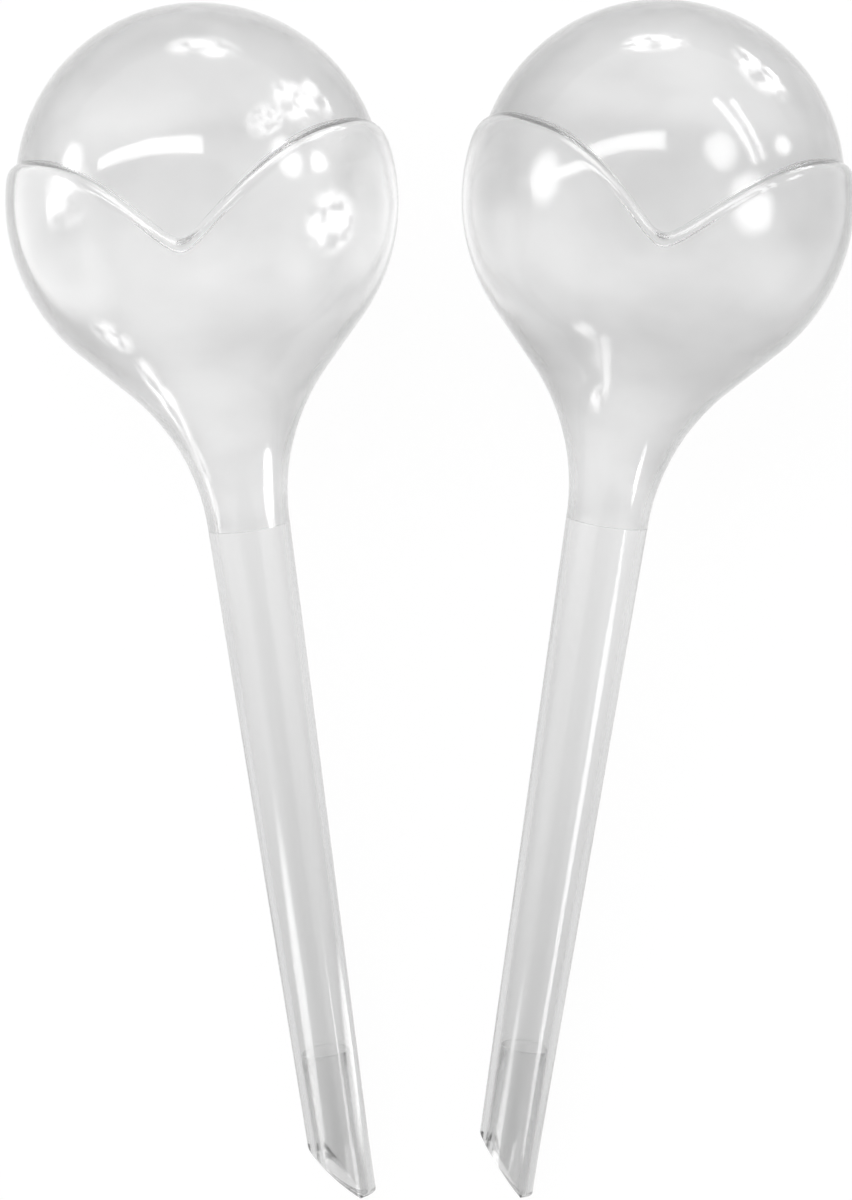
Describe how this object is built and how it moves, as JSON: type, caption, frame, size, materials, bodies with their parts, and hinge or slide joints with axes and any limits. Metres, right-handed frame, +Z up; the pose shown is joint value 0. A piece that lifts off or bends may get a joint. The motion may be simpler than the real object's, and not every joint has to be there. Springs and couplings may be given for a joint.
{
  "type": "plant water dripper",
  "caption": "Pair of clear plastic watering globes: a dome held in a petal-rimmed cup on a long hollow stem with a slant-cut point, pushed into soil to drip water to a plant.",
  "frame": {"origin": "on the surface the pair lies on, under the middle of its box", "axes": "+Z up from the surface, +Y towards the bulbs, +X towards the right-hand dripper as pictured"},
  "size_m": [0.1868, 0.2686, 0.0859],
  "materials": {
    "clear_shell": "clear, colourless, polished",
    "clear_tube": "clear, colourless, polished"
  },
  "bodies": {
    "left_dripper": {"left_dome": "clear_shell", "left_petal_cup": "clear_shell", "left_stem": "clear_tube", "left_drip_nozzle": "clear_tube"},
    "right_dripper": {"right_dome": "clear_shell", "right_petal_cup": "clear_shell", "right_stem": "clear_tube", "right_drip_nozzle": "clear_tube"}
  },
  "joints": [
    {"name": "right_dripper_slide", "type": "slide", "parent": "left_dripper", "child": "right_dripper", "axis": [1, 0, 0], "range_m": [0, 0.1]}
  ]
}
